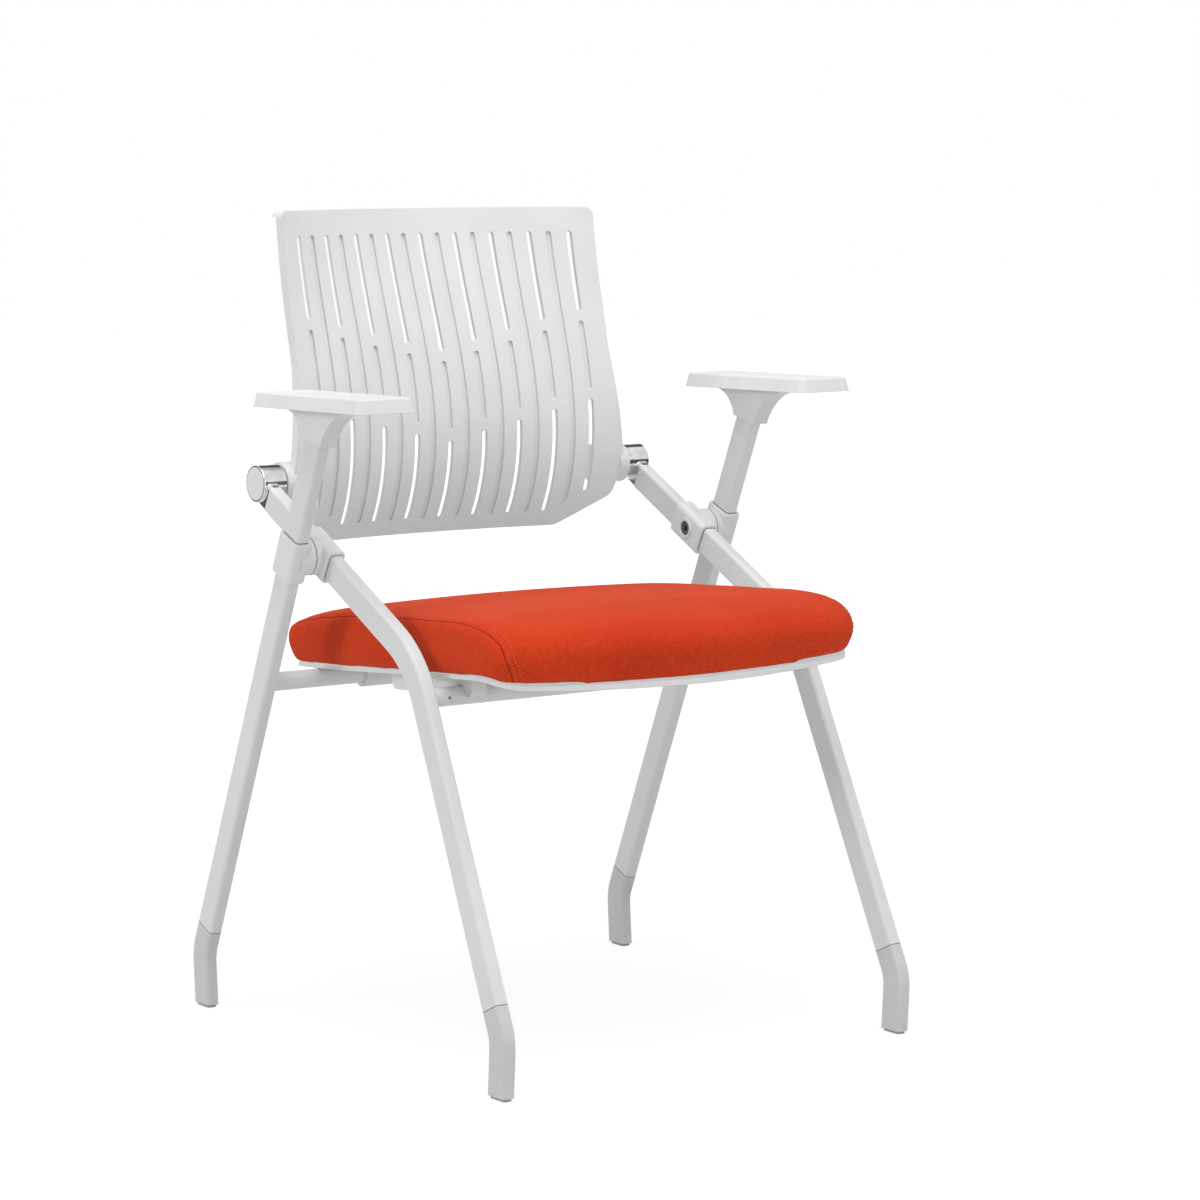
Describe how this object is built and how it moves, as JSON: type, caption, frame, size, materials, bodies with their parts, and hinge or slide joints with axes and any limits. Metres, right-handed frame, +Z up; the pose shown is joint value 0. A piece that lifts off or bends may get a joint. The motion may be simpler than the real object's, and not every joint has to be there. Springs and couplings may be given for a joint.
{
  "type": "training chair",
  "caption": "Folding training chair with arms: crossed flat-tube side frames, slotted curved plastic back on sprung hubs and a padded seat that tips up.",
  "frame": {"origin": "on the floor, at the middle of the chair's box seen from above", "axes": "+X to the sitter's left, -Y to the front of the chair, +Z up"},
  "size_m": [0.626, 0.5737, 0.8637],
  "materials": {
    "frame_paint": "satin white powder coat",
    "white_plastic": "fine matt moulded white",
    "grey_plastic": "matt light grey",
    "glide_plastic": "matt grey",
    "dark_plastic": "matt white",
    "chrome": "polished",
    "bush_rubber": "matt",
    "dark_steel": "blackened",
    "plywood": "sanded",
    "seat_fabric": "woven, orange-red"
  },
  "bodies": {
    "front_frame": {"front_tube_left": "frame_paint", "front_tube_right": "frame_paint", "front_cross_tube": "frame_paint", "front_foot_left": "grey_plastic", "front_foot_right": "grey_plastic", "front_glides": "glide_plastic", "front_sleeve_left": "white_plastic", "front_sleeve_right": "white_plastic", "pivot_bolts": "dark_steel", "pivot_nuts": "dark_steel", "pivot_washers": "grey_plastic", "back_hub_left": "chrome", "back_hub_right": "chrome", "hub_cap_left": "white_plastic", "hub_cap_right": "white_plastic", "hub_bush_left": "bush_rubber", "hub_bush_right": "bush_rubber"},
    "rear_frame": {"rear_tube_left": "frame_paint", "rear_tube_right": "frame_paint", "rear_cross_tube": "frame_paint", "rear_foot_left": "grey_plastic", "rear_foot_right": "grey_plastic", "rear_glides": "glide_plastic", "rear_sleeve_left": "white_plastic", "rear_sleeve_right": "white_plastic", "arm_bracket_left": "white_plastic", "arm_bracket_right": "white_plastic", "arm_pad_left": "white_plastic", "arm_pad_right": "white_plastic", "arm_screws": "dark_steel"},
    "seat": {"seat_pan": "white_plastic", "seat_board": "plywood", "seat_cushion": "seat_fabric", "seat_clip_left": "dark_plastic", "seat_clip_right": "dark_plastic", "seat_rest_left": "dark_plastic", "seat_rest_right": "dark_plastic", "seat_screws": "dark_steel"},
    "backrest": {"back_shell": "white_plastic", "back_spindle_left": "dark_steel", "back_spindle_right": "dark_steel"}
  },
  "joints": [
    {"name": "leg_fold", "type": "hinge", "parent": "front_frame", "child": "rear_frame", "pos_m": [0, 0.0765, 0.5096], "axis": [-1, 0, 0], "range_deg": [0, 45]},
    {"name": "seat_flip", "type": "hinge", "parent": "rear_frame", "child": "seat", "pos_m": [0, 0.13661, 0.371], "axis": [-1, 0, 0], "range_deg": [0, 50]},
    {"name": "back_recline", "type": "hinge", "parent": "front_frame", "child": "backrest", "pos_m": [0, 0.19429, 0.57576], "axis": [-1, 0, 0], "range_deg": [0, 12], "stiffness_Nm_per_rad": 40, "springref_deg": -8.59}
  ]
}
